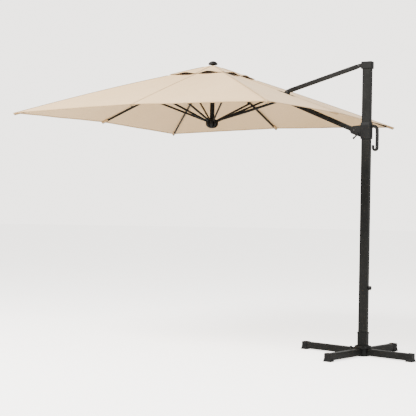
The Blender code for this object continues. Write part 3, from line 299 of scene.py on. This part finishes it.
# the last colour lightens the convex edges: a painted edge highlight mixed with wear
COAT = powder_coat("charcoal_coat", (0.0042, 0.0042, 0.0038), (0.0075, 0.0075, 0.0070), (0.018, 0.018, 0.017))
FRAME_COAT = powder_coat("frame_coat", (0.0045, 0.0045, 0.0041), (0.0085, 0.0085, 0.0078), (0.020, 0.020, 0.019))
BLACK = moulded("black_moulding", (0.0035, 0.0035, 0.0035), (0.0065, 0.0065, 0.0062), 0.42, 0.60)
GRIP = moulded("grip_moulding", (0.0040, 0.0040, 0.0040), (0.0080, 0.0080, 0.0078), 0.34, 0.50)
STEEL = brushed("blackened_steel")
CLOTH = woven("canopy_cloth_look", (0.560, 0.380, 0.190), (0.620, 0.430, 0.230), 0.05)
CAP_CLOTH = woven("vent_cloth_look", (0.580, 0.395, 0.200), (0.640, 0.445, 0.240), 0.05)
TAPE = woven("seam_tape_look", (0.480, 0.320, 0.155), (0.540, 0.370, 0.190), 0.05, True)
# painted shade: a dark sheet under the vent's cover stands for the shadow there
CAP_SHADE_LOOK = woven("vent_painted_shade_look", (0.110, 0.085, 0.062), (0.150, 0.120, 0.090), 0.05)

for name, node in nodes.items():
    if name.startswith(("mast_lower", "mast_upper", "arm_", "stay_tube", "rib_", "strut_", "short_rib")):
        look = FRAME_COAT
    elif name.startswith(("cross_beam", "swivel_disc", "mast_socket", "mast_cap")):
        look = COAT
    elif name.startswith(("disc_bolt", "ear_bolt", "joint_sleeve")) or name.endswith("_pin"):
        look = STEEL
    elif name in ("pull_handle", "mast_knob", "lock_knob", "lock_lever"):
        look = GRIP
    elif name == "centre_post":
        look = FRAME_COAT
    else:
        look = BLACK
    for index in range(len(node.data.materials)):
        node.data.materials[index] = look


# ---------------------------------------------------------------- the cloth's shape


def edge(direction):
    """Reach of the square in a direction and how near that is to a corner."""
    cosine = abs(math.cos(direction))
    sine = abs(math.sin(direction))
    return HALF / max(cosine, sine), min(cosine, sine) / max(cosine, sine)


def wrinkle(x, y, share, between):
    """Small puckers that fade out on the ribs."""
    soft = noise.noise(Vector((x * 2.3, y * 2.3, 3.1))) * 0.0045
    tight = noise.noise(Vector((x * 9.0, y * 9.0, 7.7))) * 0.0012 * share
    return (soft + tight) * between


def cloth_z(x, y):
    """Height of the stretched cloth over a point, from the canopy's centre line."""
    direction = math.atan2(y, x)
    reach, along = edge(direction)
    share = math.hypot(x, y) / reach
    edge_z = MIDDLE + (CORNER - MIDDLE) * along
    bow = MIDDLE_BOW + (CORNER_BOW - MIDDLE_BOW) * along
    bow *= 1.0 - 0.7 * (0.5 + 0.5 * math.cos(direction))
    between = abs(math.sin(4.0 * direction))
    hang = GORE_SAG * between**1.25 * math.sin(math.pi * min(share, 1.0) ** 0.8)
    z = APEX + (edge_z - APEX) * share + bow * math.sin(math.pi * min(share, 1.0)) - hang
    return z + wrinkle(x, y, share, between)


def cap_z(x, y):
    """Height of the vent's cover: held down on the ribs, standing open between them."""
    direction = math.atan2(y, x)
    reach, _ = edge(direction)
    share = math.hypot(x, y) / reach
    out = max(0.0, (share - 0.10) / (CAP_EDGE - 0.10))
    between = math.sin(4.0 * direction) ** 2
    lift = CAP_RISE * (1.0 - 0.5 * out) + CAP_LIFT * between * out**1.5
    return cloth_z(x, y) + lift


def cap_shade_z(x, y):
    """Height of the dark sheet under the vent's cover: painted shade that stands for the shadow the cover casts.
    """
    return cloth_z(x, y) + CAP_SHADE_LIFT


def normal_of(surface, x, y):
    """Outward normal of a height surface."""
    step = 0.002
    slope_x = (surface(x + step, y) - surface(x - step, y)) / (2 * step)
    slope_y = (surface(x, y + step) - surface(x, y - step)) / (2 * step)
    return Vector((-slope_x, -slope_y, 1.0)).normalized()


def finish_mesh(name, mesh, look, body, normals=None):
    """Link a mesh as a piece that rides a body."""
    data = bpy.data.meshes.new(name)
    mesh.to_mesh(data)
    mesh.free()
    data.shade_smooth()
    data.materials.append(look)
    if normals is not None:
        data.normals_split_custom_set_from_vertices(
            [normals(v.co) for v in data.vertices]
        )
    made = bpy.data.objects.new(name, data)
    bpy.context.scene.collection.objects.link(made)
    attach(made, body)
    return made


def gore(name, surface, direction, first, last, rows, columns, slit=None):
    """One rib's share of a sheet, from half-way to the next rib on either side."""
    mesh = bmesh.new()
    layer = mesh.loops.layers.uv.new("cut")
    grid = []
    for i in range(rows + 1):
        share = first + (last - first) * i / rows
        line = []
        for j in range(columns + 1):
            angle = direction - HALF_GORE + 2 * HALF_GORE * j / columns
            reach, _ = edge(angle)
            x = reach * share * math.cos(angle)
            y = reach * share * math.sin(angle)
            line.append(mesh.verts.new((x + CENTRE.x, y, surface(x, y))))
        grid.append(line)
    for i in range(rows):
        for j in range(columns):
            mesh.faces.new((grid[i][j], grid[i + 1][j], grid[i + 1][j + 1], grid[i][j + 1]))
    if slit is not None:
        low, high = slit
        for axis in (0, 1):
            for value, side in ((low[axis], -1), (high[axis], 1)):
                plane = Vector((0.0, 0.0, 0.0))
                plane[axis] = 1.0
                point = Vector((0.0, 0.0, 0.0))
                point[axis] = value
                near = [
                    f
                    for f in mesh.faces
                    if low[0] - 0.08 < f.calc_center_median().x < high[0] + 0.08
                    and abs(f.calc_center_median().y) < 0.10
                ]
                parts = near + list({e for f in near for e in f.edges})
                parts += list({v for f in near for v in f.verts})
                bmesh.ops.bisect_plane(mesh, geom=parts, plane_co=point, plane_no=plane)
        gone = [
            f
            for f in mesh.faces
            if low[0] < f.calc_center_median().x < high[0]
            and low[1] < f.calc_center_median().y < high[1]
        ]
        bmesh.ops.delete(mesh, geom=gone, context="FACES")
        for vertex in mesh.verts:
            vertex.co.z = surface(vertex.co.x - CENTRE.x, vertex.co.y)
    along = Vector((math.cos(direction), math.sin(direction), 0.0))
    across = Vector((-along.y, along.x, 0.0))
    for face in mesh.faces:
        for loop in face.loops:
            flat = loop.vert.co - CENTRE
            loop[layer].uv = (flat.dot(along) * 1.07, flat.dot(across))
    return mesh


def strip(name, path, section, look, body):
    """A solid along a path of (point, side, up) frames, with stitch coordinates."""
    mesh = bmesh.new()
    layer = mesh.loops.layers.uv.new("cut")
    rings = []
    run = [0.0]
    for i, (point, side, up) in enumerate(path):
        if i:
            run.append(run[-1] + (point - path[i - 1][0]).length)
        rings.append([mesh.verts.new(point + side * u + up * v) for u, v in section])
    count = len(section)
    girth = [0.0]
    for k in range(count):
        a = Vector(section[k])
        b = Vector(section[(k + 1) % count])
        girth.append(girth[-1] + (a - b).length)
    for i in range(len(rings) - 1):
        for k in range(count):
            j = (k + 1) % count
            face = mesh.faces.new((rings[i][k], rings[i + 1][k], rings[i + 1][j], rings[i][j]))
            places = (
                (run[i], girth[k]),
                (run[i + 1], girth[k]),
                (run[i + 1], girth[k + 1]),
                (run[i], girth[k + 1]),
            )
            for loop, place in zip(face.loops, places):
                loop[layer].uv = place
    mesh.faces.new(rings[0])
    mesh.faces.new(rings[-1])
    bmesh.ops.recalc_face_normals(mesh, faces=mesh.faces[:])
    return finish_mesh(name, mesh, look, body)


def on_cloth(surface, x, y, lift=0.0):
    """A point of a surface in the row frame, lifted along its normal."""
    normal = normal_of(surface, x, y)
    return Vector((x + CENTRE.x, y, surface(x, y))) + normal * lift, normal


def seam(name, surface, direction, first, last, body, steps=46, skip=None):
    """A felled seam that lies along a rib."""
    along = Vector((math.cos(direction), math.sin(direction), 0.0))
    side = Vector((-along.y, along.x, 0.0))
    reach, _ = edge(direction)
    path = []
    for i in range(steps + 1):
        radius = reach * (first + (last - first) * i / steps)
        point, normal = on_cloth(surface, radius * along.x, radius * along.y, 0.0004)
        path.append((point, side, normal))
    section = (
        (-0.0085, -0.0002),
        (-0.0078, 0.0008),
        (0.0, 0.0016),
        (0.0078, 0.0008),
        (0.0085, -0.0002),
    )
    return strip(name, path, section, TAPE, body)


def hem(name, direction, body, steps=40):
    """The doubled edge of the cloth along one rib's share of the square."""
    path = []
    for i in range(steps + 1):
        angle = direction - HALF_GORE + 2 * HALF_GORE * i / steps
        reach, along = edge(angle)
        x = reach * math.cos(angle)
        y = reach * math.sin(angle)
        if abs(along - 1.0) < 1e-6:
            side = Vector((-math.copysign(1.0, x), -math.copysign(1.0, y), 0.0))
        elif abs(x) > abs(y):
            side = Vector((-math.copysign(1.0, x), 0.0, 0.0))
        else:
            side = Vector((0.0, -math.copysign(1.0, y), 0.0))
        point, normal = on_cloth(cloth_z, x * HEM_START, y * HEM_START)
        point += Vector((x * (1 - HEM_START), y * (1 - HEM_START), 0.0))
        slope = side - normal * side.dot(normal)
        path.append((point, slope, normal))
    section = ((0.026, 0.0004), (0.020, 0.0014), (0.002, 0.0016), (-0.0012, -0.0004),
               (0.002, -0.0026), (0.020, -0.0022), (0.026, -0.0012))
    return strip(name, path, section, TAPE, body)


def pocket(name, direction, body):
    """The cloth pocket that holds a rib's tip."""
    along = Vector((math.cos(direction), math.sin(direction), 0.0))
    side = Vector((-along.y, along.x, 0.0))
    reach, _ = edge(direction)
    path = []
    sizes = ((0.0, 0.55), (0.012, 0.9), (0.030, 1.0), (0.060, 1.0), (0.075, 0.94))
    for back, size in sizes:
        radius = reach - 0.002 - back
        point, normal = on_cloth(cloth_z, radius * along.x, radius * along.y, -0.0006)
        path.append((point, side * size, normal * size))
    section = ((0.0165, 0.0), (0.0145, -0.010), (0.0095, -0.0185), (0.0, -0.0215),
               (-0.0095, -0.0185), (-0.0145, -0.010), (-0.0165, 0.0))
    return strip(name, path, section, TAPE, body)


def fold_with(obj):
    """Give a piece its own copy of its mesh."""
    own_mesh(obj)


slit_box = ((ARM_LINK_X - 0.070, -0.0215), (ARM_LINK_X + 0.055, 0.0215))
for rib, (degrees, body, joint) in RIBS.items():
    direction = math.radians(degrees)
    slit = slit_box if rib == "short" else None
    mesh = gore(f"canopy_{rib}", cloth_z, direction, VENT, 1.0, 44, 28, slit)
    sheet = finish_mesh(
        f"canopy_{rib}", mesh, CLOTH, body,
        lambda co: normal_of(cloth_z, co.x - CENTRE.x, co.y),
    )
    fold_with(sheet)
    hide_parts("canopy")
    edge_strip = hem(f"hem_{rib}", direction, body)
    fold_with(edge_strip)
    extras = [edge_strip, pocket(f"pocket_{rib}", direction, body)]
    if rib == "short":
        extras.append(seam(f"seam_{rib}_upper", cloth_z, direction, 0.235, 0.548, body, 16))
        extras.append(seam(f"seam_{rib}_lower", cloth_z, direction, 0.668, 0.985, body, 20))
    else:
        extras.append(seam(f"seam_{rib}", cloth_z, direction, 0.235, 0.985, body))
    # a dark sheet laid on the cloth under the cover: painted shade for the shadow the vent's cover casts
    mesh = gore(f"vent_painted_shade_{rib}", cap_shade_z, direction, VENT + 0.002, 0.212, 8, 20)
    cap_shade = finish_mesh(f"vent_painted_shade_{rib}", mesh, CAP_SHADE_LOOK, body)
    fold_with(cap_shade)
    extras.append(cap_shade)

    mesh = gore(f"vent_{rib}", cap_z, direction, CAP_START, CAP_EDGE, 16, 24)
    cover = finish_mesh(
        f"vent_{rib}", mesh, CAP_CLOTH, body,
        lambda co: normal_of(cap_z, co.x - CENTRE.x, co.y),
    )
    fold_with(cover)
    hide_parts("vent_cap")
    cap_seam = seam(f"vent_seam_{rib}", cap_z, direction, 0.05, CAP_EDGE, body, 12)


def slit_patch():
    """The dark reinforcement sewn round the arm bracket's opening."""
    mesh = bmesh.new()
    (low_x, low_y), (high_x, high_y) = slit_box
    loops = []
    for grow, lift in ((0.0, -0.0016), (0.0, 0.0022), (0.014, 0.0018), (0.016, 0.0008), (0.016, -0.0016)):
        ring = []
        for u, v in ((low_x, low_y), (high_x, low_y), (high_x, high_y), (low_x, high_y)):
            x = u + math.copysign(grow, u - (low_x + high_x) / 2)
            y = v + math.copysign(grow, v)
            ring.append(mesh.verts.new((x, y, cloth_z(x - CENTRE.x, y) + lift)))
        loops.append(ring)
    for first, second in zip(loops, loops[1:] + loops[:1]):
        for i in range(4):
            j = (i + 1) % 4
            mesh.faces.new((first[i], first[j], second[j], second[i]))
    bmesh.ops.recalc_face_normals(mesh, faces=mesh.faces[:])
    return finish_mesh("slit_patch", mesh, BLACK, "arm")


slit_patch()


# ---------------------------------------------------------------- studio


def area_light(name, place, target, size, power, colour=(1.0, 1.0, 1.0)):
    """A soft rectangular lamp."""
    lamp = bpy.data.lights.new(name, "AREA")
    lamp.shape = "RECTANGLE"
    lamp.size = size
    lamp.size_y = size * 0.7
    lamp.energy = power
    lamp.color = colour
    made = bpy.data.objects.new(name, lamp)
    bpy.context.scene.collection.objects.link(made)
    made.location = place
    made.rotation_euler = (Vector(target) - Vector(place)).to_track_quat("-Z", "Y").to_euler()


mesh = bmesh.new()
bmesh.ops.create_circle(mesh, cap_ends=True, segments=64, radius=70.0)
data = bpy.data.meshes.new("studio_floor")
mesh.to_mesh(data)
mesh.free()
data.materials.append(pale_floor())
floor = bpy.data.objects.new("studio_floor", data)
floor.location.z = -0.0005
bpy.context.scene.collection.objects.link(floor)

world = bpy.data.worlds.new("studio")
bpy.context.scene.world = world
world.use_nodes = True
background = world.node_tree.nodes["Background"]
background.inputs["Color"].default_value = (0.98, 0.965, 0.93, 1.0)
background.inputs["Strength"].default_value = 1.1
behind = world.node_tree.nodes.new("ShaderNodeBackground")
behind.inputs["Color"].default_value = (1.0, 0.965, 0.915, 1.0)
behind.inputs["Strength"].default_value = STUDIO_WHITE
seen = world.node_tree.nodes.new("ShaderNodeLightPath")
choose = world.node_tree.nodes.new("ShaderNodeMixShader")
links = world.node_tree.links
links.new(seen.outputs["Is Camera Ray"], choose.inputs["Fac"])
links.new(background.outputs[0], choose.inputs[1])
links.new(behind.outputs[0], choose.inputs[2])
links.new(choose.outputs[0], world.node_tree.nodes["World Output"].inputs["Surface"])
area_light("key", (-3.5, -5.5, 7.0), (-1.2, 0.0, 1.6), 5.0, 2300.0, (1.0, 0.98, 0.95))
area_light("fill", (5.5, -3.0, 3.5), (-0.2, 0.0, 1.2), 3.5, 420.0, (0.97, 0.98, 1.0))

# ---------------------------------------------------------------- camera

YAW = math.radians(-31.5)
PITCH = math.radians(0.2)
ROLL = math.radians(1.0)
camera_data = bpy.data.cameras.new("camera")
camera_data.sensor_width = 36.0
camera_data.lens = 89.6
camera_data.clip_end = 300.0
camera_data.shift_x = -0.006
camera = bpy.data.objects.new("camera", camera_data)
bpy.context.scene.collection.objects.link(camera)
camera.location = (3.383, -7.969, 1.170)
forward = Vector((math.sin(YAW) * math.cos(PITCH), math.cos(YAW) * math.cos(PITCH), math.sin(PITCH)))
level = Vector((math.cos(YAW), -math.sin(YAW), 0.0))
upright = level.cross(forward).normalized()
right = level * math.cos(ROLL) + upright * math.sin(ROLL)
up = upright * math.cos(ROLL) - level * math.sin(ROLL)
turn = Matrix((right, up, -forward)).transposed()
camera.rotation_euler = turn.to_euler()
bpy.context.scene.camera = camera
